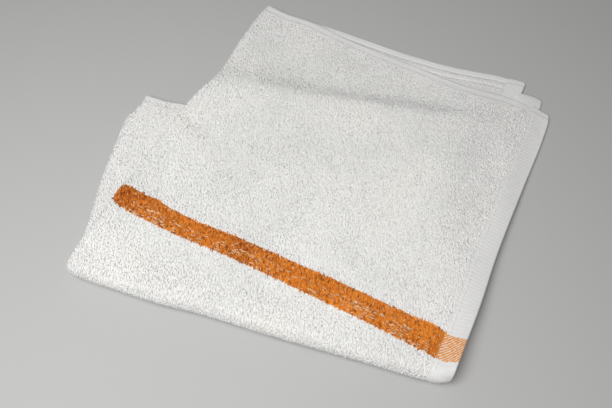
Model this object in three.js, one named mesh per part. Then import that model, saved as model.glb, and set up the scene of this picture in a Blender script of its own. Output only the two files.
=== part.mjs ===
import * as THREE from 'three';

// A white terry bar towel with one woven stripe, folded twice and laid flat.
// Millimetres, +Z up. X runs along the near fold and Y away from it.
// The cloth is first folded in half across its stripe, which makes a doubled cloth with a fold on
// its left. The near part of that is then tucked under along the near fold. So there are four
// layers, from the top: outer half, inner half, inner half, outer half.

// The hemmed cloth laid out flat.
const clothWidth = 408;
const clothLength = 483;
const clothThickness = 3;
const layerGap = 0.7;

// The flat woven hem at both ends and the smooth selvage along both sides.
const hemWidth = 13;
const hemThickness = 2.4;
const selvageWidth = 5;
const selvageThickness = 1.8;
const rimThickness = 1.2;
const rimWidth = 0.9;
const pileStep = 1.4;
const earStations = [7, 10];

// Where the fold sequence puts the cloth, before it is centred.
const grainAngle = THREE.MathUtils.degToRad(10);
const farCornerX = 45;
const farCornerY = 258.5;
const nearFoldY = -3.5;
const outerLength = 241;

// The inner half is short of the outer one at the far end, and level with it further in.
const innerShortfall = 21;
const shortfallRun = 150;

// Beyond the tucked-under part the top layers come down to the table over this distance.
const slopeRun = 40;
const hemSlopeRun = 25;

// Folds are fuller than the flat layers by this share, fading over this distance.
const foldFullness = 0.1;
const fullnessRun = 22;
const waveShare = 0.025;
const waveLength = 95;
const wavePhase = { x: 1.1, y: -0.6 };

const layerPitch = clothThickness + layerGap;
const pairThickness = layerPitch + clothThickness;
const foldRadius = layerPitch / 2;
const foldDepth = foldRadius + clothThickness / 2;
const innerLength = clothLength - outerLength - Math.PI * foldRadius;
const nearFoldRadius = pairThickness / 2 + layerGap / 2;
const nearFoldArc = Math.PI * nearFoldRadius;
const nearFoldCentreY = nearFoldY + pairThickness + layerGap / 2;
const stackMiddle = pairThickness + layerGap / 2;
const farCornerS = farCornerY - nearFoldCentreY;

// Each row is a place along an edge, and how far the edge lies from its straight line there.
const nearFoldLine = [
  { at: -30, by: 2 },
  { at: 0, by: 0.8 },
  { at: 14, by: -1.2 },
  { at: 40, by: -1.9 },
  { at: 64, by: -2.5 },
  { at: 85, by: -1.2 },
  { at: 150, by: -0.8 },
  { at: 200, by: 0.4 },
  { at: 232, by: 0.7 },
  { at: 240, by: 1.2 },
  { at: 246, by: 4 },
  { at: 252, by: 7 },
];
const firstFoldEdge = [
  { at: -10, by: 0 },
  { at: 0, by: 0 },
  { at: 24, by: -0.6 },
  { at: 66, by: 1.8 },
  { at: 98, by: 4 },
  { at: 125, by: 1.6 },
  { at: 147, by: 0 },
  { at: 210, by: -1 },
  { at: 240, by: 0.4 },
  { at: 262, by: 3 },
  { at: 300, by: 5.4 },
  { at: 330, by: 4.4 },
  { at: 370, by: 6 },
  { at: 390, by: 8 },
  { at: 398, by: 12 },
  { at: 406, by: 16.5 },
];
const outerHemEdge = [
  { at: -10, by: -2.5 },
  { at: 0, by: -1.5 },
  { at: 8, by: -0.2 },
  { at: 24, by: 0.6 },
  { at: 70, by: 0.8 },
  { at: 125, by: 0.4 },
  { at: 195, by: 2.8 },
  { at: 240, by: 1.6 },
  { at: 406, by: 0 },
];
const outerSelvage = [
  { at: 0, by: -1 },
  { at: 14, by: -1.8 },
  { at: 45, by: -0.6 },
  { at: 75, by: -3.2 },
  { at: 100, by: -4 },
  { at: 140, by: -4.2 },
  { at: 185, by: -4.4 },
  { at: 203, by: -2.4 },
  { at: 218, by: -0.2 },
  { at: 241, by: -0.6 },
];
const innerSelvage = [
  { at: 0, by: -0.5 },
  { at: 30, by: 1.6 },
  { at: 57, by: 4.4 },
  { at: 93, by: 6 },
  { at: 133, by: 7.8 },
  { at: 152, by: 9.6 },
  { at: 171, by: 12.2 },
  { at: 189, by: 15.9 },
  { at: 207, by: 20 },
  { at: 241, by: 21.5 },
];
// The turned-under ply of the outer hem stands out past the selvage at the far corner.
const hemEar = [
  { at: 0, by: 0 },
  { at: 186, by: 0 },
  { at: 206, by: 7 },
  { at: 218, by: 9.4 },
  { at: 228, by: 10.6 },
  { at: 231, by: 8 },
  { at: 234, by: 0.6 },
  { at: 241, by: 0 },
];

// How finely each stretch of the cloth is divided.
const bodySteps = 22;
const foldSteps = 8;
const topSteps = 21;
const nearFoldSteps = 8;
const underSteps = 9;

const cosGrain = Math.cos(grainAngle);
const sinGrain = Math.sin(grainAngle);

function smooth(from, to, value) {
  return THREE.MathUtils.smoothstep(value, from, to);
}

function tableValue(table, place) {
  const last = table.length - 1;
  const held = THREE.MathUtils.clamp(place, table[0].at, table[last].at);
  let row = 0;
  while (row < last - 1 && held > table[row + 1].at) {
    row += 1;
  }
  const share = (held - table[row].at) / (table[row + 1].at - table[row].at);
  return THREE.MathUtils.lerp(table[row].by, table[row + 1].by, share);
}

// Flat coordinates: p is the distance from the first fold along the grain, s the distance from
// the near fold, positive on top, and the cross distance w is counted from the far selvage.
function crossDistance(p, s) {
  return (farCornerS - s - p * sinGrain) / cosGrain;
}

function planX(p, s) {
  return farCornerX + p / cosGrain - (farCornerS - s) * sinGrain / cosGrain;
}

function hemDistance(half, s) {
  const w = crossDistance(outerLength, s);
  if (half === 'outer') {
    return outerLength + tableValue(outerHemEdge, w);
  }
  return innerLength - innerShortfall * (1 - smooth(0, shortfallRun, w));
}

function selvageOffset(half, p) {
  return tableValue(half === 'outer' ? outerSelvage : innerSelvage, p);
}

// The stretches of the length: hem, body, first fold, body, hem.
function lengthStations() {
  const hem = [0, rimWidth, ...earStations, hemWidth];
  const stations = [];
  for (const distance of hem) {
    stations.push({ half: 'outer', hem: distance });
  }
  for (let step = 0; step <= bodySteps; step += 1) {
    stations.push({ half: 'outer', share: 1 - step / bodySteps });
  }
  for (let step = 1; step < foldSteps; step += 1) {
    const turn = Math.PI * step / foldSteps;
    stations.push({ half: step < foldSteps / 2 ? 'outer' : 'inner', turn });
  }
  for (let step = 0; step <= bodySteps; step += 1) {
    stations.push({ half: 'inner', share: step / bodySteps });
  }
  for (const distance of hem.reverse()) {
    stations.push({ half: 'inner', hem: distance });
  }
  return stations;
}

// The stretches of the width: far selvage, top, near fold, underneath, tucked selvage.
function widthStations() {
  const stations = [{ band: 'far', in: 0 }, { band: 'far', in: selvageWidth }];
  for (let step = 0; step < topSteps; step += 1) {
    stations.push({ band: 'top', share: step / topSteps });
  }
  for (let step = 0; step < nearFoldSteps; step += 1) {
    stations.push({ band: 'nearFold', share: step / nearFoldSteps });
  }
  for (let step = 0; step <= underSteps; step += 1) {
    stations.push({ band: 'under', share: step / underSteps });
  }
  stations.push({ band: 'tucked', in: selvageWidth }, { band: 'tucked', in: 0 });
  return stations;
}

// The distance s of a width station, at distance p from the first fold.
function stationS(widthStation, half, p) {
  const bandEdge = (selvageWidth + pileStep) * cosGrain;
  const offset = selvageOffset(half, p);
  const far = farCornerS - p * sinGrain + offset;
  const tucked = farCornerS - p * sinGrain - clothWidth * cosGrain + (half === 'inner' ? offset : 0);
  switch (widthStation.band) {
    case 'far':
      return far - widthStation.in * cosGrain;
    case 'top':
      return THREE.MathUtils.lerp(far - bandEdge, 0, widthStation.share);
    case 'nearFold':
      return -nearFoldArc * widthStation.share;
    case 'under':
      return THREE.MathUtils.lerp(-nearFoldArc, tucked + bandEdge, widthStation.share);
    default:
      return tucked + widthStation.in * cosGrain;
  }
}

function stationP(lengthStation, s, side) {
  const fold = tableValue(firstFoldEdge, crossDistance(0, s));
  if (lengthStation.turn !== undefined) {
    return fold + foldDepth - (foldRadius + side * clothThickness / 2) * Math.sin(lengthStation.turn);
  }
  const end = hemDistance(lengthStation.half, s);
  if (lengthStation.hem !== undefined) {
    return end - lengthStation.hem;
  }
  return THREE.MathUtils.lerp(fold + foldDepth, end - hemWidth - pileStep, lengthStation.share);
}

function nominalP(lengthStation) {
  if (lengthStation.turn !== undefined) {
    return 0;
  }
  const length = lengthStation.half === 'outer' ? outerLength : innerLength - innerShortfall;
  return lengthStation.hem === undefined ? length * lengthStation.share : length - lengthStation.hem;
}

function thicknessAt(lengthStation, widthStation) {
  if (lengthStation.hem === 0 || widthStation.in === 0) {
    return rimThickness;
  }
  if (widthStation.in !== undefined) {
    return selvageThickness;
  }
  return lengthStation.hem === undefined ? clothThickness : hemThickness;
}

// Height inside the doubled cloth, from the inner half's face that turns in at the near fold.
function pairHeight(lengthStation, offset) {
  const middle = clothThickness / 2;
  if (lengthStation.turn !== undefined) {
    return middle + foldRadius + (foldRadius + offset) * Math.cos(lengthStation.turn);
  }
  return lengthStation.half === 'outer' ? middle + layerPitch + offset : middle - offset;
}

// How far a place in plan lies beyond the part that is tucked under.
function beyondTucked(x, y) {
  const s = nearFoldCentreY - y - nearFoldArc;
  const p = (x - farCornerX) * cosGrain + (farCornerS - s) * sinGrain;
  const w = (farCornerS - s) * cosGrain - (x - farCornerX) * sinGrain;
  return Math.hypot(Math.max(w - clothWidth, 0), Math.max(p - outerLength, 0));
}

function waves(x, y) {
  const turn = 2 * Math.PI / waveLength;
  return Math.sin(turn * x + wavePhase.x) * Math.sin(turn * y + wavePhase.y);
}

// Lays the flat coordinates around the near fold and lets the top layers down to the table.
function layDown(half, p, s, height) {
  const radius = height + layerGap / 2;
  const x = planX(p, s);
  let y = nearFoldCentreY + s;
  let z = stackMiddle + radius;
  if (s < -nearFoldArc) {
    y = nearFoldCentreY - s - nearFoldArc;
    z = stackMiddle - radius;
  } else if (s < 0) {
    const turn = -Math.PI * s / nearFoldArc;
    y = nearFoldCentreY - radius * Math.sin(turn);
    z = stackMiddle + radius * Math.cos(turn);
  }
  const onTop = smooth(0, slopeRun / 2, s);
  z -= onTop * 2 * layerPitch * smooth(0, slopeRun, beyondTucked(x, y));
  if (half === 'outer') {
    z -= onTop * layerPitch * smooth(0, hemSlopeRun, p - hemDistance('inner', s));
  }
  const nearFoldReach = Math.abs(y - nearFoldCentreY);
  const foldReach = Math.max(p - foldDepth, 0);
  const fullness = 1 - smooth(0, fullnessRun, Math.min(nearFoldReach, foldReach));
  z *= 1 + foldFullness * fullness + waveShare * waves(x, y);
  y += tableValue(nearFoldLine, x) * (1 - smooth(0, 3 * fullnessRun, nearFoldReach));
  return new THREE.Vector3(x, y, z);
}

function clothPoint(lengthStation, widthStation, side, extraS = 0, depth = 1) {
  const half = lengthStation.half;
  const s = stationS(widthStation, half, nominalP(lengthStation)) + extraS;
  const p = stationP(lengthStation, s, side * depth);
  const offset = side * depth * thicknessAt(lengthStation, widthStation) / 2;
  return layDown(half, p, s, pairHeight(lengthStation, offset));
}

// One ring around the cloth at a length station: one face, the tucked selvage's rim, the other
// face back again, and the far selvage's rim, whose lower lip carries the hem's ear.
function ringAt(lengthStation, crossings) {
  const rim = rimWidth / 2;
  const rimDepth = 0.3;
  const last = crossings[crossings.length - 1];
  const ear = lengthStation.half === 'outer' && lengthStation.turn === undefined
    ? tableValue(hemEar, nominalP(lengthStation)) : 0;
  const face = crossings.map((crossing) => clothPoint(lengthStation, crossing, 1));
  const back = crossings.map((crossing, index) => {
    return clothPoint(lengthStation, crossing, -1, index === 0 ? ear : 0);
  });
  return [
    ...face,
    clothPoint(lengthStation, last, 1, -rim, rimDepth),
    clothPoint(lengthStation, last, -1, -rim, rimDepth),
    ...back.reverse(),
    clothPoint(lengthStation, crossings[0], -1, rim + ear, rimDepth),
    clothPoint(lengthStation, crossings[0], 1, rim, rimDepth),
  ];
}

function clothGeometry() {
  const crossings = widthStations();
  const rings = lengthStations().map((station) => ringAt(station, crossings));
  const ringSize = rings[0].length;
  const positions = rings.flat().flatMap((point) => point.toArray());
  const triangles = [];
  const quad = (a, b, c, d) => triangles.push(a, c, b, a, d, c);
  for (let ring = 0; ring + 1 < rings.length; ring += 1) {
    for (let place = 0; place < ringSize; place += 1) {
      const next = (place + 1) % ringSize;
      const here = ring * ringSize;
      const there = here + ringSize;
      quad(here + place, here + next, there + next, there + place);
    }
  }
  // The two hems' ends: a strip between the faces and one small piece at each corner.
  const count = crossings.length;
  for (const [start, flip] of [[0, false], [(rings.length - 1) * ringSize, true]]) {
    const cap = (a, b, c, d) => (flip ? quad(a, b, c, d) : quad(d, c, b, a));
    const backOf = (place) => start + 2 * count + 1 - place;
    for (let place = 0; place + 1 < count; place += 1) {
      cap(start + place, start + place + 1, backOf(place + 1), backOf(place));
    }
    cap(start + count - 1, start + count, start + count + 1, start + count + 2);
    cap(start + 2 * count + 1, start + 2 * count + 2, start + 2 * count + 3, start);
  }
  const geometry = new THREE.BufferGeometry();
  geometry.setAttribute('position', new THREE.Float32BufferAttribute(positions, 3));
  geometry.setIndex(triangles);
  return geometry;
}

function centredOnTable(geometry) {
  geometry.computeBoundingBox();
  const box = geometry.boundingBox;
  const centre = box.getCenter(new THREE.Vector3());
  geometry.translate(-centre.x, -centre.y, -box.min.z);
  geometry.computeVertexNormals();
  return geometry;
}

const terry = new THREE.MeshStandardMaterial({ color: 0xf1f0ec, roughness: 0.95, metalness: 0 });
const towel = new THREE.Mesh(centredOnTable(clothGeometry()), terry);
towel.name = 'towel';

const part = new THREE.Group();
part.name = 'foldedBarTowel';
part.add(towel);

export default part;
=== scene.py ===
import math

import bpy
import numpy as np
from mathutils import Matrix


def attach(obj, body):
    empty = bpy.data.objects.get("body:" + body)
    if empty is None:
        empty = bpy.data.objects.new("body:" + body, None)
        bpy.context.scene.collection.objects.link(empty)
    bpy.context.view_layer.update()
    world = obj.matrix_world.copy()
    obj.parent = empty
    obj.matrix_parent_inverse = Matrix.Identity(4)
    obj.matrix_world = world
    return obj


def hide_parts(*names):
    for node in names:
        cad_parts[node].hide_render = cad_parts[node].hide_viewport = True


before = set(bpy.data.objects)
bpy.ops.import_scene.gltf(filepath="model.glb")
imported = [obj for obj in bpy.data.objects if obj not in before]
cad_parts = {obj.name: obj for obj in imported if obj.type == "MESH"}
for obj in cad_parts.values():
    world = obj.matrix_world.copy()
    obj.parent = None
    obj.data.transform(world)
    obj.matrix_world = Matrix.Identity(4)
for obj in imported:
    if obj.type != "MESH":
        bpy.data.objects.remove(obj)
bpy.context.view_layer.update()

# A white terry bar towel with one woven stripe, folded in half across the stripe and then tucked
# under along its near side. Lengths are millimetres until a mesh is written, in metres.

towelCut = {
    "width": 408, "length": 483,            # laid out flat
    "thickness": 3.0, "layerGap": 0.7,
    "hemWidth": 13, "hemThickness": 2.2,
    "selvageWidth": 5, "selvageThickness": 1.6,
    "rimThickness": 1.1, "rimWidth": 0.9,
    "pileStep": 1.4,                        # from flat weave up to full pile
    "pileRecess": 0.5,                      # the ground lies this far below where loops stand on it
}

foldPlan = {
    "grain": math.radians(10),              # the cloth lies turned by this much to the near fold
    "farCornerX": 45, "farCornerY": 258.5,
    "nearFoldY": -3.5,
    "outerLength": 241,                     # from the first fold to the outer hem
    "innerShortfall": 21, "shortfallRun": 150,
    "farCrest": (14, 5.5), "farCrestReach": (50, 225),   # where the top layers start to come down
    "farSlopeRun": (27, 13), "farRunReach": (50, 125),   # beyond the tucked selvage, left and right
    "farCrestRound": 2.0,
    "hemCrest": -2, "hemCrestRound": 4, "hemSlopeRun": 34,   # and beyond its hem
    "ridge": 0.9, "ridgeRun": 42,           # they rise a little towards that crest
    "innerHemSlopeRun": 25, "topStart": 20,
    "heldUp": (5, 85),                      # near the near fold they stay up, in s
    "foldFullness": 0.1, "fullnessRun": 22,
    "nearLineRun": 66,                      # the near fold's own unevenness fades over this
    "waveShare": 0.025, "waveLength": 95, "wavePhase": (1.1, -0.6),
    "tuckedCorner": 16,                     # the first fold is this far back at the tucked corner
    "planCentre": (133.19736, 126.35051),   # of the CAD solid, which stands centred on the origin
}

# Each row is a place along an edge, and how far the edge lies from its straight line there.
nearFoldLine = [(-30, 2), (0, 0.8), (14, -1.2), (40, -1.9), (64, -2.5), (85, -1.2), (150, -0.8),
                (200, 0.4), (232, 0.7), (240, 1.2), (246, 4), (252, 7)]
firstFoldEdge = [(-10, 0), (0, 0), (24, -0.6), (60, 1.8), (76, 4.4), (95, 5.8), (112, 2.8),
                 (125, 2), (147, 1.4), (205, 1.2), (240, 1.4), (262, 3), (300, 5.4), (330, 4.4),
                 (370, 6), (390, 8), (398, 12), (406, 15)]
outerHemEdge = [(-10, -2.5), (0, -1.5), (8, -0.2), (24, 0.6), (70, 0.3), (125, 0), (195, 2.5),
                (240, 1.9), (406, 0)]
outerSelvage = [(0, -1), (14, -1.8), (45, -0.6), (75, -3.2), (100, -4), (140, -4.2), (185, -4.4),
                (203, -2.4), (218, -0.2), (241, -0.6)]
innerSelvage = [(0, -0.5), (30, 1.6), (57, 4.4), (93, 6), (133, 7.8), (152, 9.6), (171, 12.2),
                (189, 15.9), (207, 20), (241, 21.5)]

cosGrain, sinGrain = math.cos(foldPlan["grain"]), math.sin(foldPlan["grain"])
middle = towelCut["thickness"] / 2
layerPitch = towelCut["thickness"] + towelCut["layerGap"]
pairThickness = layerPitch + towelCut["thickness"]
stackMiddle = pairThickness + towelCut["layerGap"] / 2
foldRadius = layerPitch / 2
foldDepth = foldRadius + middle
nearFoldArc = math.pi * (pairThickness + towelCut["layerGap"]) / 2
nearCentreY = foldPlan["nearFoldY"] + stackMiddle
farCornerS = foldPlan["farCornerY"] - nearCentreY
outerLength = foldPlan["outerLength"]
innerLength = towelCut["length"] - outerLength - math.pi * foldRadius
bandEdge = towelCut["selvageWidth"] + towelCut["pileStep"]


# Smooth rise from 0 to 1 between two values: t * t * (3 - 2 t).
def smooth(low, high, value):
    share = np.clip((value - low) / (high - low), 0, 1)
    return share * share * (3 - 2 * share)


# A cubic curve through a table's rows, with each row's slope taken from its neighbours.
def tableCurve(table, place):
    at, by = np.array(table, float).T
    slope = np.gradient(by, at)
    held = np.clip(place, at[0], at[-1])
    row = np.clip(np.searchsorted(at, held) - 1, 0, len(at) - 2)
    run = at[row + 1] - at[row]
    t = (held - at[row]) / run
    return ((1 + 2 * t) * (1 - t) ** 2 * by[row] + t * (1 - t) ** 2 * run * slope[row]
            + t * t * (3 - 2 * t) * by[row + 1] - t * t * (1 - t) * run * slope[row + 1])


# p runs along the grain from the first fold, s across it from the near fold (positive on top),
# and the cross distance is counted from the far selvage.
def crossDistance(p, s):
    return (farCornerS - s - p * sinGrain) / cosGrain


# Where a half's hem ends, in p: the outer half's length and its table's offset, or the inner
# half's length less a shortfall at the far side.
def hemDistance(outer, s):
    w = crossDistance(outerLength, s)
    shortfall = foldPlan["innerShortfall"] * (1 - smooth(0, foldPlan["shortfallRun"], w))
    return np.where(outer, outerLength + tableCurve(outerHemEdge, w), innerLength - shortfall)


# Where a selvage lies, in s: a straight line that falls by the grain's slant, and its table's
# offset. The tucked selvage lies the towel's width from the far one, and is straight at its corner.
def farSelvageS(outer, p):
    offset = np.where(outer, tableCurve(outerSelvage, p), tableCurve(innerSelvage, p))
    return farCornerS - p * sinGrain + offset


def tuckedSelvageS(outer, p):
    held = np.maximum(p, foldPlan["tuckedCorner"])
    offset = np.where(outer, 0, tableCurve(innerSelvage, p))
    return farCornerS - held * sinGrain - towelCut["width"] * cosGrain + offset


# A corner rounded over a width: c * log(1 + exp(value / c)), near 0 before and the value after.
def rounded(value, width):
    return width * np.logaddexp(0, value / width)


# How far the top layers come down beyond the tucked part. The distances past the crest beyond its
# selvage and beyond its hem, each as a share of the slope's run there, add up as two sides to u,
# and the drop is the tucked part's height * u / (1 + u ** 3) ** (1 / 3), less a soft ridge that
# rises towards the crest. Near the near fold the cloth is held up.
def slopeDrop(x, y, s):
    plan = foldPlan
    tuckedS = nearCentreY - y - nearFoldArc
    p = (x - plan["farCornerX"]) * cosGrain + (farCornerS - tuckedS) * sinGrain
    w = (farCornerS - tuckedS) * cosGrain - (x - plan["farCornerX"]) * sinGrain
    (leftCrest, rightCrest), (leftRun, rightRun) = plan["farCrest"], plan["farSlopeRun"]
    crest = leftCrest + (rightCrest - leftCrest) * smooth(*plan["farCrestReach"], x)
    farRun = leftRun + (rightRun - leftRun) * smooth(*plan["farRunReach"], x)
    pastSelvage, pastHem = w - towelCut["width"] - crest, p - outerLength - plan["hemCrest"]
    far = rounded(pastSelvage, plan["farCrestRound"]) / farRun
    right = rounded(pastHem, plan["hemCrestRound"]) / plan["hemSlopeRun"]
    u = np.hypot(far, right)
    share = u / np.cbrt(1 + u ** 3)
    rise = smooth(-plan["ridgeRun"], 0, np.maximum(pastSelvage, pastHem))
    drop = 2 * layerPitch * share - plan["ridge"] * (rise - share)
    return drop * smooth(*plan["heldUp"], s)


# Soft creases and swells of the top layers: each is a ridge or trough along a line in plan, with
# the height of a bell curve across the line, fading towards its ends.
creases = [
    {"from": (226, 212), "to": (222, 150), "height": 0.8, "width": 11},
    {"from": (21, 69), "to": (233, 33), "height": -0.35, "width": 3.5},
    {"from": (12, 75), "to": (42, 66), "height": -0.55, "width": 5},
    {"from": (24, 131), "to": (62, 112), "height": -0.55, "width": 3.5},
    {"from": (26, 131), "to": (80, 112), "height": -0.5, "width": 3},
    {"from": (14, 72), "to": (22, 128), "height": -0.5, "width": 4},
    {"from": (8, 60), "to": (247, 18), "height": 0.55, "width": 8},
    {"from": (6, 59), "to": (48, 53), "height": 0.6, "width": 6},
]
creaseRise, creaseFade = (-0.2, 0.3), (0.6, 1.2)   # from and to, as shares of a crease's length


def creaseHeight(x, y):
    height = np.zeros(np.broadcast(x, y).shape)
    for crease in creases:
        (x0, y0), (x1, y1) = crease["from"], crease["to"]
        run = math.hypot(x1 - x0, y1 - y0)
        along = ((x - x0) * (x1 - x0) + (y - y0) * (y1 - y0)) / run
        aside = ((y - y0) * (x1 - x0) - (x - x0) * (y1 - y0)) / run
        rise = smooth(creaseRise[0] * run, creaseRise[1] * run, along)
        fade = smooth(creaseFade[0] * run, creaseFade[1] * run, along)
        height += crease["height"] * (rise * (1 - fade)) * np.exp(-(aside / crease["width"]) ** 2)
    return height


# Lays flat coordinates round the near fold: on top y grows with s, through the fold the place
# turns by a half circle of its own height's radius, and underneath y grows as s falls. Beyond the
# tucked part and the inner hem the layers come down. Height is counted inside the doubled cloth.
def layDown(outer, p, s, height):
    radius = height + towelCut["layerGap"] / 2
    turn = np.clip(-s / nearFoldArc, 0, 1) * math.pi
    x = foldPlan["farCornerX"] + p / cosGrain - (farCornerS - s) * sinGrain / cosGrain
    y = nearCentreY + np.maximum(s, 0) + np.maximum(-s - nearFoldArc, 0) - radius * np.sin(turn)
    z = stackMiddle + radius * np.cos(turn)
    onTop = smooth(0, foldPlan["topStart"], s)
    z = z - onTop * slopeDrop(x, y, s)
    pastInner = smooth(0, foldPlan["innerHemSlopeRun"], p - hemDistance(False, s))
    z = z - onTop * layerPitch * pastInner * np.where(outer, 1, 0)
    nearReach = np.abs(y - nearCentreY)
    reach = np.minimum(nearReach, np.maximum(p - foldDepth, 0))
    fullness = 1 - smooth(0, foldPlan["fullnessRun"], reach)
    turnPerMm = 2 * math.pi / foldPlan["waveLength"]
    phaseX, phaseY = foldPlan["wavePhase"]
    waves = np.sin(turnPerMm * x + phaseX) * np.sin(turnPerMm * y + phaseY)
    z = z * (1 + foldPlan["foldFullness"] * fullness + foldPlan["waveShare"] * waves)
    z = z + onTop * creaseHeight(x, y)
    y = y + tableCurve(nearFoldLine, x) * (1 - smooth(0, foldPlan["nearLineRun"], nearReach))
    return np.stack(np.broadcast_arrays(x, y, z), axis=-1)


# Where a flat half meets the first fold, in p: the fold's own edge and the fold's depth.
def foldStart(s):
    return tableCurve(firstFoldEdge, crossDistance(0, s)) + foldDepth


# A place on the cloth: p along the grain on a flat half, or an angle round the first fold, with
# an offset from the middle of the thickness, positive on the face that is outside the first fold.
def clothPoint(outer, turning, along, s, offset):
    bend = foldRadius + offset
    p = np.where(turning, foldStart(s) - bend * np.sin(along), along)
    flatHeight = np.where(outer, middle + layerPitch + offset, middle - offset)
    height = np.where(turning, middle + foldRadius + bend * np.cos(along), flatHeight)
    return layDown(outer, p, s, height)


def toMetres(points):
    return (points - np.array([*foldPlan["planCentre"], 0])) / 1000


# Writes a mesh from whole arrays. Faces is an array of corner rows, all of the same count, and an
# attribute is a number or a vector for each vertex.
def meshPiece(name, points, faces, material, attributes=None):
    mesh = bpy.data.meshes.new(name)
    mesh.vertices.add(len(points))
    mesh.vertices.foreach_set("co", points.astype(np.float32).ravel())
    mesh.loops.add(faces.size)
    mesh.loops.foreach_set("vertex_index", faces.astype(np.int32).ravel())
    mesh.polygons.add(len(faces))
    starts = np.arange(0, faces.size, faces.shape[1], dtype=np.int32)
    mesh.polygons.foreach_set("loop_start", starts)
    mesh.update(calc_edges=True)
    for label, values in (attributes or {}).items():
        kind, field = ("FLOAT", "value") if values.ndim == 1 else ("FLOAT_VECTOR", "vector")
        layer = mesh.attributes.new(label, kind, "POINT")
        layer.data.foreach_set(field, values.astype(np.float32).ravel())
    mesh.shade_smooth()
    mesh.materials.append(material)
    piece = bpy.data.objects.new(name, mesh)
    bpy.context.scene.collection.objects.link(piece)
    return piece


# Shader helpers. A value is a fixed number or colour, or the socket that gives it.
def setInput(tree, slot, value):
    if isinstance(value, bpy.types.NodeSocket):
        tree.links.new(value, slot)
    else:
        slot.default_value = value


def addNode(tree, kind, inputs=None, **settings):
    node = tree.nodes.new(kind)
    for key, value in settings.items():
        setattr(node, key, value)
    for key, value in (inputs or {}).items():
        setInput(tree, node.inputs[key], value)
    return node


def maths(tree, operation, first, second=0.0, third=0.0):
    inputs = {0: first, 1: second, 2: third}
    return addNode(tree, "ShaderNodeMath", inputs, operation=operation).outputs[0]


def noise(tree, vector, scale, detail=2.0, roughness=0.5):
    inputs = {"Vector": vector, "Scale": scale, "Detail": detail, "Roughness": roughness}
    return addNode(tree, "ShaderNodeTexNoise", inputs).outputs["Fac"]


def remap(tree, value, low, high, newLow=0.0, newHigh=1.0):
    inputs = {0: value, 1: low, 2: high, 3: newLow, 4: newHigh}
    return addNode(tree, "ShaderNodeMapRange", inputs).outputs[0]


def mixColours(tree, factor, first, second):
    inputs = {0: factor, 6: first, 7: second}
    return addNode(tree, "ShaderNodeMix", inputs, data_type="RGBA").outputs[2]


def readAttribute(tree, label, output="Fac"):
    return addNode(tree, "ShaderNodeAttribute", attribute_name=label).outputs[output]


cottonLook = {
    "slowScale": 24, "speckScale": 420, "toneRange": (0.76, 1.24),
    "warmScale": 26, "warmRange": (0.6, 0.74), "fibreScale": 2600,
}


# Shared effect: uneven cotton. Tone wanders over the cloth with finer specks, Fibre is a fine
# height, and Warm masks a few faint patches. All run from 0 to 1.
def cottonGroup():
    group = bpy.data.node_groups.new("unevenCotton", "ShaderNodeTree")
    scaleSocket = group.interface.new_socket("Scale", in_out="INPUT", socket_type="NodeSocketFloat")
    scaleSocket.default_value = 1
    for label in ("Tone", "Fibre", "Warm"):
        group.interface.new_socket(label, in_out="OUTPUT", socket_type="NodeSocketFloat")
    start = addNode(group, "NodeGroupInput")
    end = addNode(group, "NodeGroupOutput")
    coords = addNode(group, "ShaderNodeTexCoord").outputs["Object"]
    scaled = addNode(group, "ShaderNodeVectorMath", {0: coords}, operation="SCALE")
    group.links.new(start.outputs["Scale"], scaled.inputs["Scale"])
    place = scaled.outputs[0]
    slowTone = noise(group, place, cottonLook["slowScale"], 3, 0.55)
    specks = noise(group, place, cottonLook["speckScale"], 2, 0.6)
    tone = remap(group, maths(group, "ADD", slowTone, specks), *cottonLook["toneRange"])
    patches = noise(group, place, cottonLook["warmScale"], 1, 0.4)
    warm = remap(group, patches, *cottonLook["warmRange"])
    fibre = noise(group, place, cottonLook["fibreScale"], 3, 0.65)
    for label, value in (("Tone", tone), ("Fibre", fibre), ("Warm", warm)):
        group.links.new(value, end.inputs[label])
    return group


cotton = cottonGroup()

yarnColours = {
    "white": (0.90, 0.895, 0.88, 1), "whiteShade": (0.78, 0.775, 0.76, 1),
    "whiteLight": (0.95, 0.945, 0.93, 1), "whiteWarm": (0.90, 0.865, 0.79, 1),
    "flat": (0.92, 0.915, 0.90, 1), "flatShade": (0.86, 0.855, 0.84, 1),
    # the deep orange is partly the stripe's deeper dye tone and partly painted shade: its darkest
    # loops stand in for the shadows between loops, and the stripe's ground mixes towards it as
    # painted shade in the gaps
    "orange": (0.86, 0.275, 0.023, 1), "orangeDeepAndPaintedShade": (0.38, 0.09, 0.005, 1),
    "peachPale": (0.92, 0.74, 0.56, 1),
    "orangeLight": (0.94, 0.42, 0.07, 1), "peach": (0.95, 0.66, 0.40, 1),
}


def newMaterial(name, sheen):
    material = bpy.data.materials.new(name)
    material.use_nodes = True
    tree = material.node_tree
    shader = tree.nodes["Principled BSDF"]
    shader.inputs["Sheen Weight"].default_value = sheen
    shader.inputs["Sheen Roughness"].default_value = 0.6
    shader.inputs["Specular IOR Level"].default_value = 0.25
    return material, tree, shader


def finish(tree, shader, colour, roughness, height, distance):
    bumpInputs = {"Height": height, "Strength": 0.7, "Distance": distance}
    bump = addNode(tree, "ShaderNodeBump", bumpInputs)
    setInput(tree, shader.inputs["Base Color"], colour)
    setInput(tree, shader.inputs["Roughness"], roughness)
    setInput(tree, shader.inputs["Normal"], bump.outputs[0])


yarnLook = {
    "unevenness": 0.6,                      # how much the cotton's own tone adds to a loop's tone
    "roughness": (0.82, 0.98), "fibreDepth": 0.0002,
}


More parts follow.
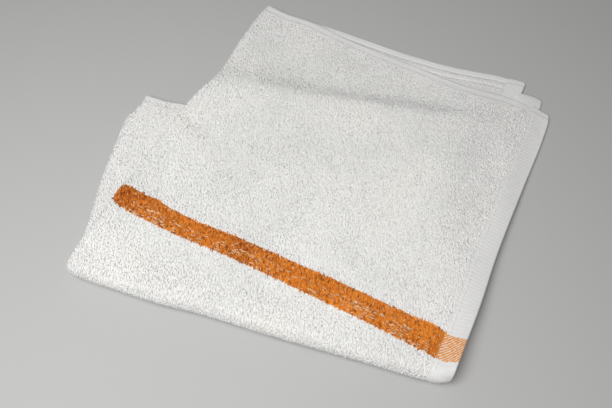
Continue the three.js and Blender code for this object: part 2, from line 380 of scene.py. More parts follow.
# Yarn of one dye: tone runs from -1, shade, to 1, light, and differs from loop to loop, pale marks
# a yarn of another colour, and fine fibres give the relief.
def yarnMaterial(name, sheen, shade, plain, light, pale):
    material, tree, shader = newMaterial(name, sheen)
    uneven = addNode(tree, "ShaderNodeGroup", node_tree=cotton).outputs
    loopTone = maths(tree, "ADD", readAttribute(tree, "tone"), -yarnLook["unevenness"] / 2)
    tone = maths(tree, "MULTIPLY_ADD", uneven["Tone"], yarnLook["unevenness"], loopTone)
    shading = remap(tree, tone, -1, 0, 1, 0)
    darker = mixColours(tree, shading, yarnColours[plain], yarnColours[shade])
    toned = mixColours(tree, remap(tree, tone, 0, 1), darker, yarnColours[light])
    paled = mixColours(tree, readAttribute(tree, "pale"), toned, yarnColours[pale])
    rough = remap(tree, uneven["Fibre"], 0, 1, *yarnLook["roughness"])
    finish(tree, shader, paled, rough, uneven["Fibre"], yarnLook["fibreDepth"])
    return material


clothLook = {
    "wanderScale": 420, "stripeWander": 0.3, "stripeEdge": (0.97, 1.03),   # its edge strays
    "warmth": 0.5,
    "hatchPitch": 1.5, "hatchSlant": (0.65, 0.76),   # slanting yarn lines of the stripe in the hem
    "hatchWander": 3.5, "breakScale": 700, "hatchBreaks": 4, "hatchCover": (-0.5, 0.4),
    "cellScale": 620, "cellSoftness": 0.4,  # the relief of packed loops
    "weavePitch": (0.9, 0.8), "weaveHeight": 0.14,
    "ribPitch": 2.6, "ribWander": 2, "ribHeight": 0.12,
    "fibreHeight": 0.25, "reliefDepth": 0.0006, "roughness": (0.84, 0.98),
}


# The cloth itself. The attribute clothPlace holds p, the cross distance and how flat the weave is,
# and stripePlace runs from -1 to 1 across the stripe. Pile areas get a cellular relief of packed
# loops, flat areas a plain weave of two crossed sines with faint ribs, and in the flat hem the
# stripe shows as broken slanting lines of its own yarn.
def clothMaterial():
    look = clothLook
    material, tree, shader = newMaterial("terryCloth", 0.2)
    uneven = addNode(tree, "ShaderNodeGroup", node_tree=cotton).outputs
    place = readAttribute(tree, "clothPlace", "Vector")
    along, across, flatness = addNode(tree, "ShaderNodeSeparateXYZ", {0: place}).outputs
    coords = addNode(tree, "ShaderNodeTexCoord").outputs["Object"]
    wander = maths(tree, "SUBTRACT", noise(tree, coords, look["wanderScale"]), 0.5)
    straight = readAttribute(tree, "stripePlace")
    stripePlace = maths(tree, "MULTIPLY_ADD", wander, look["stripeWander"], straight)
    inStripe = remap(tree, maths(tree, "ABSOLUTE", stripePlace), *look["stripeEdge"], 1, 0)

    turnAlong, turnAcross = (part * 2 * math.pi / look["hatchPitch"] for part in look["hatchSlant"])
    slant = maths(tree, "MULTIPLY", across, turnAcross)
    slant = maths(tree, "MULTIPLY_ADD", along, turnAlong, slant)
    slant = maths(tree, "MULTIPLY_ADD", wander, look["hatchWander"], slant)
    breaks = maths(tree, "SUBTRACT", noise(tree, coords, look["breakScale"], 1), 0.5)
    breaks = maths(tree, "MULTIPLY", breaks, look["hatchBreaks"])
    lines = maths(tree, "ADD", maths(tree, "SINE", slant), breaks)
    hatch = remap(tree, lines, *look["hatchCover"])

    white = mixColours(tree, uneven["Tone"], yarnColours["whiteShade"], yarnColours["white"])
    warmth = maths(tree, "MULTIPLY", uneven["Warm"], look["warmth"])
    white = mixColours(tree, warmth, white, yarnColours["whiteWarm"])
    flatWhite = mixColours(tree, uneven["Tone"], yarnColours["flatShade"], yarnColours["flat"])
    # the stripe's ground mixes towards the deep orange and lies darker than its loops: painted
    # shade in the gaps between loops, varied by the cotton's uneven tone
    orange = mixColours(tree, uneven["Tone"], yarnColours["orangeDeepAndPaintedShade"], yarnColours["orange"])
    hatched = mixColours(tree, hatch, yarnColours["peachPale"], yarnColours["orange"])
    plain = mixColours(tree, flatness, white, flatWhite)
    dyed = mixColours(tree, flatness, orange, hatched)
    colour = mixColours(tree, inStripe, plain, dyed)

    cellInputs = {"Vector": coords, "Scale": look["cellScale"], "Smoothness": look["cellSoftness"]}
    cells = addNode(tree, "ShaderNodeTexVoronoi", cellInputs, feature="SMOOTH_F1")
    pile = maths(tree, "SUBTRACT", 1, cells.outputs["Distance"])
    warpPitch, weftPitch = look["weavePitch"]
    warp = maths(tree, "SINE", maths(tree, "MULTIPLY", along, 2 * math.pi / warpPitch))
    weft = maths(tree, "SINE", maths(tree, "MULTIPLY", across, 2 * math.pi / weftPitch))
    ribTurn = maths(tree, "MULTIPLY", across, 2 * math.pi / look["ribPitch"])
    ribTurn = maths(tree, "MULTIPLY_ADD", wander, look["ribWander"], ribTurn)
    ribs = maths(tree, "MULTIPLY", maths(tree, "SINE", ribTurn), look["ribHeight"])
    crossing = maths(tree, "MULTIPLY", warp, weft)
    weave = maths(tree, "MULTIPLY_ADD", crossing, look["weaveHeight"], ribs)
    reliefInputs = {0: flatness, 2: pile, 3: weave}
    relief = addNode(tree, "ShaderNodeMix", reliefInputs, data_type="FLOAT").outputs[0]
    fibres = maths(tree, "MULTIPLY_ADD", uneven["Fibre"], look["fibreHeight"], relief)
    rough = remap(tree, uneven["Tone"], 0, 1, *look["roughness"])
    finish(tree, shader, colour, rough, fibres, look["reliefDepth"])
    return material


terryCloth = clothMaterial()
whiteYarn = yarnMaterial("whiteYarn", 0.25, "whiteShade", "white", "whiteLight", "whiteWarm")
# the stripe's loops darken towards the deep orange: partly uneven dye, partly painted shade
# standing in for the shadows between loops
orangeYarn = yarnMaterial("orangeYarn", 0.03, "orangeDeepAndPaintedShade", "orange", "orangeLight", "peach")
whiteThread = yarnMaterial("whiteThread", 0.1, "flatShade", "flat", "whiteLight", "whiteWarm")
print("materials made")

# The stripe's two edges: place along the grain, and cross distance there.
stripeFarEdge = [(-10, 200.4), (1, 199.2), (6, 198.2), (20, 198.5), (28, 197.8), (40, 199.2),
                 (60, 199.2), (82, 198), (110, 196.7), (131, 195.8), (153, 195), (176, 195.3),
                 (207, 195.1), (225, 194.6), (233, 196.6), (241, 197.8)]
stripeNearEdge = [(-10, 210.4), (1, 212), (8, 213.1), (19, 213.8), (30, 213.4), (47, 213),
                  (82, 212), (116, 211), (135, 210.4), (149, 210.6), (180, 211), (211, 212.2),
                  (222, 212.6), (236, 213.2), (241, 213.2)]


# Place across the stripe, from -1 at its far edge to 1 at its near edge, as (2 w - far - near) /
# (near - far).
def stripePlaceAt(p, w):
    far, near = tableCurve(stripeFarEdge, p), tableCurve(stripeNearEdge, p)
    return (2 * w - far - near) / (near - far)


clothGrid = {
    "bodySteps": 84, "foldSteps": 12, "topSteps": 88, "nearFoldSteps": 16, "underSteps": 40,
    "hemStations": (0, 0.4, 1.0, 2.0, 3.6, 6, 9, 11.8, 13),
    "farStations": (0, 0.7, 1.8, 3.4, 5),
    "stripStations": (5.5, 6.1, 6.7, 7.6, 9, 10.4, 11, 11.6, 12.2, 13.4),
    "tuckedStations": (0, 0.7, 1.8, 3.4, 5),
    "hemCorner": 3.0,
    "endRimShare": 0.4, "rimCurve": 0.15,   # of the rim's thickness, at the hems and at its bend
    "underFade": (4, 14),                   # past the near fold the recess for loops fades out
    # along the inner half's far selvage, where it shows past the top layer: place in, and depth
    "grooves": ((5.9, 0.75), (11.4, 0.6)), "grooveWidth": 0.6,
}


# The whole cloth as one closed skin. Rings follow the length (hem, outer half, first fold, inner
# half, hem), and the places in a ring go over one face from the far selvage to the tucked one,
# round the rim, back over the other face and round the far rim.
def clothSkin():
    grid, cut = clothGrid, towelCut
    hem = np.array(grid["hemStations"])
    body = np.linspace(1, 0, grid["bodySteps"] + 1)
    turns = np.linspace(0, math.pi, grid["foldSteps"] + 1)[1:-1]

    def blank(values):
        return np.full(len(values), np.nan)

    hemIn = np.concatenate([hem, blank(body), blank(turns), blank(body), hem[::-1]])[:, None]
    share = np.concatenate([blank(hem), body, blank(turns), body[::-1], blank(hem)])[:, None]
    turn = np.concatenate([blank(hem), blank(body), turns, blank(body), blank(hem)])[:, None]
    outer = np.arange(len(hemIn))[:, None] < len(hem) + len(body) + len(turns) / 2
    isHem, turning = ~np.isnan(hemIn), ~np.isnan(turn)
    hemIn, share, turn = np.nan_to_num(hemIn), np.nan_to_num(share), np.nan_to_num(turn)
    length = np.where(outer, outerLength, innerLength - foldPlan["innerShortfall"])
    nominal = np.where(turning, 0, np.where(isHem, length - hemIn, length * share))

    farIn = np.array(grid["farStations"] + grid["stripStations"], float)
    tuckedIn = np.array(grid["tuckedStations"], float)
    top = np.linspace(0, 1, grid["topSteps"] + 1)[:-1]
    near = np.linspace(0, 1, grid["nearFoldSteps"] + 1)[:-1]
    under = np.linspace(0, 1, grid["underSteps"] + 1)
    far, tucked = farSelvageS(outer, nominal), tuckedSelvageS(outer, nominal)
    topEdge, tuckedEdge = far - (farIn[-1] + 1) * cosGrain, tucked + bandEdge * cosGrain
    nearRow = np.broadcast_to(-nearFoldArc * near, (len(far), len(near)))
    s = np.concatenate([far - farIn * cosGrain, topEdge * (1 - top), nearRow,
                        -nearFoldArc * (1 - under) + tuckedEdge * under,
                        tucked + tuckedIn[::-1] * cosGrain], axis=1)
    inside = np.full(len(top) + len(near) + len(under), 99.0)   # well away from both edges
    edgeIn = np.concatenate([farIn, inside, tuckedIn[::-1]])[None, :]
    isEdge = edgeIn <= cut["selvageWidth"]

    corner = grid["hemCorner"]
    inCorner = np.clip(corner - edgeIn, 0, corner)
    cornerInset = corner - np.sqrt(corner ** 2 - inCorner ** 2)
    fade = np.clip(1 - hemIn / cut["hemWidth"], 0, 1)
    start, end = foldStart(s), hemDistance(outer, s)
    bodyEnd = end - cut["hemWidth"] - cut["pileStep"]
    along = np.where(isHem, end - hemIn - cornerInset * fade, start + (bodyEnd - start) * share)
    along = np.where(turning, turn, along)

    # half the thickness on each face: thin at the rims, and lower where loops will stand
    rise = smooth(cut["selvageWidth"], bandEdge, edgeIn)
    edgeHalf = (cut["selvageThickness"] + (cut["thickness"] - cut["selvageThickness"]) * rise) / 2
    hemHalf = np.where(isEdge, cut["selvageThickness"], cut["hemThickness"]) / 2
    atEnd = isHem & (hemIn <= 0)
    flat = np.where(isHem, hemHalf, edgeHalf)
    flat = np.where(atEnd | (edgeIn <= 0), cut["rimThickness"] / 2, flat)
    flat = flat * np.where(atEnd, grid["endRimShare"], 1)
    pile = np.where(isHem | isEdge, 0, rise)
    fadeFrom, fadeTo = grid["underFade"]
    underneath = 1 - smooth(-nearFoldArc - fadeTo, -nearFoldArc - fadeFrom, s)
    faceRecess = np.where(outer & ~turning, 1 - underneath, np.where(turning, 1, underneath))
    groove = np.zeros_like(edgeIn)
    for place, depth in grid["grooves"]:
        groove += depth * np.exp(-((edgeIn - place) / grid["grooveWidth"]) ** 2)
    face = clothPoint(outer, turning, along, s, flat - cut["pileRecess"] * pile * faceRecess)
    back = clothPoint(outer, turning, along, s, -(flat - np.where(outer | isHem, 0, groove)))

    rimReach, rimDepth = cut["rimWidth"] / 2, grid["rimCurve"] * cut["rimThickness"]

    def rim(column, outward, side):
        rimS = s[:, column] + outward
        line = clothPoint(outer[:, 0], turning[:, 0], along[:, column], rimS, side * rimDepth)
        return line[:, None]

    ring = np.concatenate([face, rim(-1, -rimReach, 1), rim(-1, -rimReach, -1), back[:, ::-1],
                           rim(0, rimReach, -1), rim(0, rimReach, 1)], axis=1)

    w = crossDistance(np.where(turning, 0, along), s)
    pFlat = np.where(turning, 0, along) + np.zeros_like(s)
    flatWeave = np.broadcast_to(1.0 - pile, s.shape)
    marks = np.stack([pFlat, w, flatWeave, stripePlaceAt(pFlat, w)], axis=-1)
    ringMarks = np.concatenate([marks, marks[:, -1:], marks[:, -1:], marks[:, ::-1],
                                marks[:, :1], marks[:, :1]], axis=1).reshape(-1, 4)

    rings, places = ring.shape[:2]
    here = np.arange(rings * places).reshape(rings, places)
    after = np.roll(here, -1, axis=1)
    quads = np.stack([here[:-1], here[1:], after[1:], after[:-1]], axis=-1).reshape(-1, 4)

    # the two ends: a ladder between the faces, and one small face at each rim
    columns = face.shape[1]
    front = np.arange(columns)
    behind = 2 * columns + 1 - front
    ladder = np.stack([front[:-1], front[1:], behind[1:], behind[:-1]], axis=-1)
    rimFaces = np.array([[columns - 1, columns, columns + 1, columns + 2],
                         [2 * columns + 1, 2 * columns + 2, 2 * columns + 3, 0]])
    cap = np.concatenate([ladder, rimFaces])
    faces = np.concatenate([quads, cap, cap[:, ::-1] + (rings - 1) * places])
    attributes = {"clothPlace": ringMarks[:, :3], "stripePlace": ringMarks[:, 3]}
    return toMetres(ring.reshape(-1, 3)), faces, attributes


clothPoints, clothFaces, clothMarks = clothSkin()
cloth = meshPiece("towelCloth", clothPoints, clothFaces, terryCloth, clothMarks)
print("cloth:", len(clothFaces) * 2, "triangles")

pileYarn = {
    "pitch": (1.95, 1.16),                  # between loops across the grain and along it
    "jitter": 0.42,                         # how far each strays, as a share of the pitch
    "halfSpan": (0.65, 1.05), "height": (0.4, 0.66), "yarn": (0.36, 0.5),
    "sink": 0.36, "lean": 0.5,
    "heading": math.radians(14), "headingSpread": 0.32, "headingDrift": 0.18, "driftLength": 60,
    "driftSlant": (0.6, 1.7), "driftPhase": 2,
    "edgeFade": 6, "smallest": 0.5,         # loops are smaller near the hem and the selvage
    "selvageGap": (4.4, 7), "selvageReach": (60, 160),   # the bare selvage widens between these p
    "tuckedGap": 1.0, "hemGap": (10.5, 14), "floorGap": 0.05,
    "turnShare": 0.72, "turnFrom": 12,      # how far round the first fold, where s is past this
    "coverGap": 0.2,                        # from the top layers to the loops of the tucked part
    "stripeRise": 1.2, "stripeStray": 0.045,   # dyed loops are higher, and stray over the edges
    "twist": 0.12, "bulge": 0.35, "seed": 41, "loopsPerPiece": 5600,
}
pileSpan = {                                # how far the lattices of loops reach
    "nearFold": -26, "far": 262, "tucked": 245,   # in s, the tucked one from the near fold's end
    "outerAlong": (-2, 236), "tuckedAlong": (2, 70),   # in p
}

arch = {"stations": 6, "corners": 3,        # a loop's places along the yarn and round it
        "nudge": 0.1}                       # the step that finds which way the cloth faces


# The corner rows of one loop: a fan at each end, and two triangles for each side between.
def archFaces():
    last = arch["corners"] * (arch["stations"] - 2) + 1
    rows = []
    for corner in range(arch["corners"]):
        after = (corner + 1) % arch["corners"]
        rows.append((0, 1 + after, 1 + corner))
        rows.append((last, last - arch["corners"] + corner, last - arch["corners"] + after))
        for station in range(arch["stations"] - 3):
            one = 1 + arch["corners"] * station
            two = one + arch["corners"]
            rows.append((one + corner, one + after, two + after))
            rows.append((one + corner, two + after, two + corner))
    return np.array(rows)


# A lattice of places, every other row shifted by half a step, each strayed at random.
def lattice(rng, crossFrom, crossTo, alongFrom, alongTo, crossPitch, alongPitch):
    a, b = np.meshgrid(np.arange(crossFrom, crossTo, crossPitch),
                       np.arange(alongFrom, alongTo, alongPitch), indexing="ij")
    b = b + (np.arange(a.shape[0]) % 2)[:, None] * alongPitch / 2
    a = a + rng.uniform(-1, 1, a.shape) * pileYarn["jitter"] * crossPitch
    b = b + rng.uniform(-1, 1, b.shape) * pileYarn["jitter"] * alongPitch
    return a.ravel(), b.ravel()


# Yarn arches on the cloth, at places as clothPoint takes them. The middle of the yarn is
# (-a cos t, lean h sin t, h sin t - sink) in the directions ahead, aside and up of the cloth there,
# and a three-sided section is carried along it, drawn to a point at both ends.
def yarnArches(rng, places, yarn, halfSpan, height, radius, heading):
    outer, turning, along, s, offset = places
    count = len(s)
    base = clothPoint(outer, turning, along, s, offset)
    up = clothPoint(outer, turning, along, s, offset + arch["nudge"]) - base
    across = clothPoint(outer, turning, along, s + arch["nudge"], offset) - base
    up /= np.linalg.norm(up, axis=1)[:, None]
    across -= (across * up).sum(1)[:, None] * up
    across /= np.linalg.norm(across, axis=1)[:, None]
    sideways = np.cross(up, across)
    ahead = across * np.cos(heading)[:, None] + sideways * np.sin(heading)[:, None]
    aside = np.cross(up, ahead)

    t = np.linspace(0, math.pi, arch["stations"])[None, :]
    lean = rng.normal(0, yarn["lean"], count)[:, None]
    twist = rng.normal(0, yarn["twist"], (count, arch["stations"]))
    goAhead = -halfSpan[:, None] * np.cos(t) * (1 + yarn["bulge"] * np.sin(t) ** 2) + twist
    goUp = height[:, None] * np.sin(t) - yarn["sink"]
    goAside = lean * height[:, None] * np.sin(t) + twist[:, ::-1]
    slopeAhead, slopeUp = np.gradient(goAhead, axis=1), np.gradient(goUp, axis=1)
    run = np.hypot(slopeAhead, slopeUp)
    ends = np.ones(arch["stations"])
    ends[[0, -1]] = 0
    reach = radius[:, None] * ends
    rows = []
    for station in range(arch["stations"]):
        for corner in range(arch["corners"] if ends[station] else 1):
            turn = 2 * math.pi * corner / arch["corners"]
            out = (reach / run)[:, station] * math.cos(turn)
            a = goAhead[:, station] - slopeUp[:, station] * out
            b = goAside[:, station] + reach[:, station] * math.sin(turn)
            c = goUp[:, station] + slopeAhead[:, station] * out
            rows.append(base + ahead * a[:, None] + aside * b[:, None] + up * c[:, None])
    return np.stack(rows, axis=1)


# One pile region: where its loops stand, and how far each is from the nearest smooth edge.
def region(outer, turning, along, s, p, edgeDistance):
    return {"outer": np.broadcast_to(outer, s.shape), "turning": turning, "along": along, "s": s,
            "p": p, "edge": np.broadcast_to(edgeDistance, s.shape)}


# Which places keep their loop, none beyond the smooth edge and ever more of them further in, and
# how far each place is from the hem's end.
def nearHem(rng, outer, p, s):
    fromEnd = hemDistance(outer, s) - p
    return rng.uniform(0, 1, s.shape) < smooth(*pileYarn["hemGap"], fromEnd), fromEnd


def pileRegions(rng):
    span = pileSpan
    crossPitch, alongPitch = pileYarn["pitch"]
    leftGap, rightGap = (gap * cosGrain for gap in pileYarn["selvageGap"])
    nearShare = (nearFoldArc / math.pi) / (pairThickness + towelCut["layerGap"] / 2)

    # the top layer and the near fold, where a step on the outside is a shorter one in s
    q, p = lattice(rng, span["nearFold"], span["far"], *span["outerAlong"], crossPitch, alongPitch)
    s = np.where(q < 0, q * nearShare, q)
    stays, fromEnd = nearHem(rng, True, p, s)
    fromFar = farSelvageS(True, p) - s
    selvage = leftGap + (rightGap - leftGap) * smooth(*pileYarn["selvageReach"], p)
    keep = (p > foldStart(s)) & (fromFar > selvage) & stays
    edge = np.minimum(fromFar - selvage, fromEnd - pileYarn["hemGap"][0])
    yield region(True, False, p[keep], s[keep], p[keep], edge[keep])

    # round the first fold, on the top pair and on the tucked one
    tuckedFrom = -nearFoldArc - span["tucked"]
    turnPitch = alongPitch / foldDepth
    s, turn = lattice(rng, tuckedFrom, span["far"], 0, math.pi, crossPitch, turnPitch)
    fromFar = farCornerS - s - leftGap
    fromTucked = s - tuckedSelvageS(True, np.zeros_like(s)) - pileYarn["tuckedGap"]
    edge = np.minimum(fromFar, fromTucked)
    share = np.where(s > pileYarn["turnFrom"], pileYarn["turnShare"], 1)
    keep = (edge > 0) & (turn > 0) & (turn < share * math.pi)
    s, turn, edge = s[keep], turn[keep], edge[keep]
    yield region(turn < math.pi / 2, True, turn, s, np.zeros(keep.sum()), edge)

    # the tucked part that shows beside the first fold, up to where the top layers cover it
    s, p = lattice(rng, tuckedFrom, -nearFoldArc, *span["tuckedAlong"], crossPitch, alongPitch)
    edge = s - tuckedSelvageS(False, p) - pileYarn["tuckedGap"]
    shift = (farCornerS - s) * sinGrain / cosGrain
    topShift = (farCornerS + s + nearFoldArc) * sinGrain / cosGrain
    shows = p / cosGrain - shift + topShift < -pileYarn["coverGap"]
    keep = (p > foldStart(s)) & (edge > 0) & shows
    yield region(False, False, p[keep], s[keep], p[keep], edge[keep])


# Loops for every region, and which of them are of the stripe's yarn. A loop that would reach the
# floor is left out.
def pileLoops(rng):
    plainRows, dyedRows = [], []
    for part in pileRegions(rng):
        count = len(part["s"])
        w = crossDistance(part["p"], part["s"])
        grown = smooth(0, pileYarn["edgeFade"], part["edge"])
        size = pileYarn["smallest"] + (1 - pileYarn["smallest"]) * grown
        turnPerMm = 2 * math.pi / pileYarn["driftLength"]
        gentle, steep = pileYarn["driftSlant"]
        drift = np.sin(turnPerMm * (part["p"] + gentle * w))
        drift = drift + np.sin(turnPerMm * (steep * w - part["p"]) + pileYarn["driftPhase"])
        heading = pileYarn["heading"] + pileYarn["headingDrift"] * drift / 2
        heading = heading + rng.normal(0, pileYarn["headingSpread"], count)
        offset = np.full(count, middle - towelCut["pileRecess"])
        places = (part["outer"], part["turning"], part["along"], part["s"], offset)
        halfSpan = rng.uniform(*pileYarn["halfSpan"], count) * size
        stripePlace = stripePlaceAt(part["p"], w) + rng.normal(0, pileYarn["stripeStray"], count)
        dyed = np.abs(stripePlace) < 1
        height = rng.uniform(*pileYarn["height"], count) * size
        height = height * np.where(dyed, pileYarn["stripeRise"], 1)
        radius = rng.uniform(*pileYarn["yarn"], count) * np.sqrt(size)
        loops = yarnArches(rng, places, pileYarn, halfSpan, height, radius, heading)
        clear = loops[:, :, 2].min(axis=1) > pileYarn["floorGap"]
        plainRows.append(loops[clear & ~dyed])
        dyedRows.append(loops[clear & dyed])
    return np.concatenate(plainRows), np.concatenate(dyedRows)


flecks = {
    "count": 150, "along": (8, 226), "across": (-0.1, 0.92),
    "clusters": ((37, 7, 34), (183, 6, 22), (205, 5, 26), (95, 12, 18)),   # centre, spread, count
    "halfSpan": (0.7, 1.5), "height": (0.75, 1.0), "radius": (0.34, 0.5),
    "lean": 0.1, "twist": 0.1, "sink": 0.05, "bulge": 0.1, "spread": 0.25,
    "paleness": (0.5, 1),
}
stripeTones = {"spread": 0.75, "paleShare": 0.09, "paleness": (0.3, 0.9)}   # a few loops are pale
archSizes = ("halfSpan", "height", "radius")


# Bare ground yarn that shows in the stripe: low arches along it, some in clusters.
def stripeFlecks(rng):
    p = rng.uniform(*flecks["along"], flecks["count"])
    for centre, spread, count in flecks["clusters"]:
        p = np.concatenate([p, rng.normal(centre, spread, count)])
    count = len(p)
    place = rng.uniform(*flecks["across"], count)
    far, near = tableCurve(stripeFarEdge, p), tableCurve(stripeNearEdge, p)
    w = (far + near + place * (near - far)) / 2
    s = farCornerS - w * cosGrain - p * sinGrain
    keep = p > foldStart(s)
    p, s, count = p[keep], s[keep], keep.sum()
    offset = np.full(count, middle - towelCut["pileRecess"])
    heading = -math.pi / 2 + rng.normal(0, flecks["spread"], count)
    halfSpan, height, radius = (rng.uniform(*flecks[key], count) for key in archSizes)
    places = (True, False, p, s, offset)
    return yarnArches(rng, places, flecks, halfSpan, height, radius, heading)


# All the arches of one piece in one mesh, with each one's tone and paleness on its vertices.
def archPiece(name, arches, material, tones, pale):
    perArch = arches.shape[1]
    faces = archFaces()[None] + (np.arange(len(arches)) * perArch)[:, None, None]
    attributes = {"tone": np.repeat(tones, perArch), "pale": np.repeat(pale, perArch)}
    points = toMetres(arches.reshape(-1, 3))
    return meshPiece(name, points, faces.reshape(-1, 3), material, attributes)


rng = np.random.default_rng(pileYarn["seed"])
whiteArches, dyedArches = pileLoops(rng)
fleckArches = stripeFlecks(rng)
pilePieces = []
for number, first in enumerate(range(0, len(whiteArches), pileYarn["loopsPerPiece"]), start=1):
    block = whiteArches[first:first + pileYarn["loopsPerPiece"]]
    tones, noPale = rng.uniform(-1, 1, len(block)), np.zeros(len(block))
    pilePieces.append(archPiece(f"pileLoops{number}", block, whiteYarn, tones, noPale))
stripeArches = np.concatenate([dyedArches, fleckArches])
tones = rng.normal(0, stripeTones["spread"], len(stripeArches))
paleLoops = np.where(rng.uniform(0, 1, len(dyedArches)) < stripeTones["paleShare"],
                     rng.uniform(*stripeTones["paleness"], len(dyedArches)), 0)
pale = np.concatenate([paleLoops, rng.uniform(*flecks["paleness"], len(fleckArches))])
stripePiece = archPiece("stripeLoops", stripeArches, orangeYarn, tones, pale)
loopTotal = len(whiteArches) + len(stripeArches)
print("pile:", loopTotal, "loops,", loopTotal * len(archFaces()), "triangles in",
      len(pilePieces) + 1, "pieces")

hemStitch = {
    "fromEnd": 11.3, "pitch": 2.9, "halfSpan": 1.2, "height": 0.34, "radius": 0.2,
    "lean": 0.1, "twist": 0.04, "sink": 0.12, "bulge": 0.2, "stray": 0.12, "headingSpread": 0.06,
    "foldShare": 0.55,                      # the row starts this far round the near fold
    "farGap": 44, "selvageGap": 2,
}


# The outer hem's row of stitches: low arches in line, from within the near fold to the far selvage.
def stitchRow(rng):
    foldEnd, farEnd = -nearFoldArc * hemStitch["foldShare"], farCornerS - hemStitch["farGap"]
    s = np.arange(foldEnd, farEnd, hemStitch["pitch"])
    s = s + rng.normal(0, hemStitch["stray"], len(s))
    p = hemDistance(True, s) - hemStitch["fromEnd"] + rng.normal(0, hemStitch["stray"], len(s))
    inCloth = s < farSelvageS(True, p) - hemStitch["selvageGap"]
    p, s = p[inCloth], s[inCloth]
    count = len(s)
    offset = np.full(count, towelCut["hemThickness"] / 2)
    halfSpan, height, radius = (np.full(count, hemStitch[key]) for key in archSizes)
    heading = rng.normal(0, hemStitch["headingSpread"], count)
    places = (True, False, p, s, offset)
    return yarnArches(rng, places, hemStitch, halfSpan, height, radius, heading)


stitchArches = stitchRow(rng)
stitchTones, noPale = rng.uniform(-1, 1, len(stitchArches)), np.zeros(len(stitchArches))
stitches = archPiece("hemStitches", stitchArches, whiteThread, stitchTones, noPale)

hemEar = {
    "from": 213.5, "to": 231.5, "tuck": 6,
    "reach": ((213, 8.6), (221, 9.4), (227, 10.6), (232, 10.8)),
    "corner": 2.6, "top": -1.15, "thickness": 1.1, "alongSteps": 18, "outSteps": 12,
    "endCrowding": 0.1, "edgeCrowding": 0.8,   # more steps near the ends, and near the far edge
    "roll": 0.5, "rollFrom": 0.75, "rollUnder": 0.3,   # its far edge rolls down a little
    "awayFromStripe": 5.0,
}


# The turned-under ply of the outer hem, where it stands out past the selvage: a thin closed sheet
# between two lines of p, with its far edge at the reach and its two corners rounded by an arc.
def earSheet():
    u = np.linspace(0, 1, hemEar["alongSteps"] + 1)[:, None]
    v = np.linspace(0, 1, hemEar["outSteps"] + 1)[None, :] ** hemEar["edgeCrowding"]
    u = u - hemEar["endCrowding"] * np.sin(2 * math.pi * u) / math.pi
    p = hemEar["from"] + (hemEar["to"] - hemEar["from"]) * u
    corner = hemEar["corner"]
    inCorner = np.clip(corner - np.minimum(p - hemEar["from"], hemEar["to"] - p), 0, corner)
    edge = farSelvageS(True, p)
    far = edge + tableCurve(hemEar["reach"], p) - corner + np.sqrt(corner ** 2 - inCorner ** 2)
    near = edge - hemEar["tuck"]
    s = near + (far - near) * v
    along = np.broadcast_to(p, s.shape)
    roll = hemEar["roll"] * smooth(hemEar["rollFrom"], 1, v) * np.ones_like(s)
    below = hemEar["top"] - hemEar["thickness"] - roll * hemEar["rollUnder"]
    rows = [clothPoint(True, False, along, s, hemEar["top"] - roll),
            clothPoint(True, False, along, s, below)]
    count = s.size
    here = np.arange(count).reshape(s.shape)
    upper = np.stack([here[:-1, :-1], here[1:, :-1], here[1:, 1:], here[:-1, 1:]], axis=-1)
    upper = upper.reshape(-1, 4)
    border = np.concatenate([here[:-1, 0], here[-1, :-1], here[:0:-1, -1], here[0, :0:-1]])
    after = np.roll(border, -1)
    walls = np.stack([after, border, border + count, after + count], axis=-1)
    faces = np.concatenate([upper, upper[:, ::-1] + count, walls])
    marks = np.stack([along, crossDistance(along, s), np.ones_like(s)], axis=-1).reshape(-1, 3)
    away = np.full(2 * count, hemEar["awayFromStripe"])
    attributes = {"clothPlace": np.concatenate([marks, marks]), "stripePlace": away}
    return toMetres(np.concatenate(rows).reshape(-1, 3)), faces, attributes


earPoints, earFaces, earMarks = earSheet()
ear = meshPiece("hemEar", earPoints, earFaces, terryCloth, earMarks)
print("hem ear and", len(stitchArches), "stitches made")

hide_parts("towel")
addedPieces = [*pilePieces, stripePiece, ear, stitches]
for piece in (cloth, *addedPieces):
    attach(piece, "root")

floorLook = {
    "size": 4.0, "colour": (0.52, 0.52, 0.515, 1), "lighter": (0.55, 0.55, 0.545, 1),
    "mottleScale": 3, "grainScale": 900, "grainDepth": 0.00005, "roughness": 0.75,
}


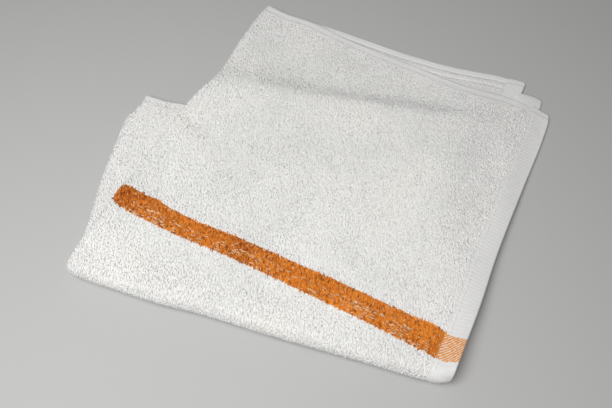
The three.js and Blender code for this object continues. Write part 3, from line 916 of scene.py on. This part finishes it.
def makeFloor():
    half = floorLook["size"] / 2
    points = np.array([[-half, -half, 0], [half, -half, 0], [half, half, 0], [-half, half, 0]])
    material, tree, shader = newMaterial("paleFloor", 0)
    coords = addNode(tree, "ShaderNodeTexCoord").outputs["Object"]
    mottle = noise(tree, coords, floorLook["mottleScale"], 4)
    colour = mixColours(tree, mottle, floorLook["colour"], floorLook["lighter"])
    grain = noise(tree, coords, floorLook["grainScale"])
    finish(tree, shader, colour, floorLook["roughness"], grain, floorLook["grainDepth"])
    meshPiece("paleFloor", points, np.array([[0, 1, 2, 3]]), material)


studio = {
    "keyPlace": (-0.13, -0.30, 0.60), "keySize": 0.45, "keyPower": 4.0,
    "skyColour": (1.0, 0.99, 0.97, 1), "skyStrength": 0.185,
}


def makeLight():
    light = bpy.data.lights.new("softKey", "AREA")
    light.shape, light.size, light.energy = "SQUARE", studio["keySize"], studio["keyPower"]
    lamp = bpy.data.objects.new("softKey", light)
    lamp.location = studio["keyPlace"]
    x, y, z = studio["keyPlace"]
    lamp.rotation_euler = (math.atan2(math.hypot(x, y), z), 0, math.atan2(x, -y))
    bpy.context.scene.collection.objects.link(lamp)
    world = bpy.data.worlds.new("studioSky")
    world.use_nodes = True
    background = world.node_tree.nodes["Background"]
    background.inputs["Color"].default_value = studio["skyColour"]
    background.inputs["Strength"].default_value = studio["skyStrength"]
    bpy.context.scene.world = world


viewpoint = {"place": (0.05787, -0.22771, 0.3589), "tilt": 29.4, "turn": 17.27, "lens": 35.55}


def makeCamera():
    data = bpy.data.cameras.new("photoCamera")
    data.lens, data.sensor_width = viewpoint["lens"], 36
    data.clip_start, data.clip_end = 0.01, 20
    camera = bpy.data.objects.new("photoCamera", data)
    camera.location = viewpoint["place"]
    camera.rotation_euler = (math.radians(viewpoint["tilt"]), 0, math.radians(viewpoint["turn"]))
    bpy.context.scene.collection.objects.link(camera)
    bpy.context.scene.camera = camera


makeFloor()
makeLight()
makeCamera()
bpy.context.scene.view_settings.view_transform = "Standard"
print("floor, light and camera made")
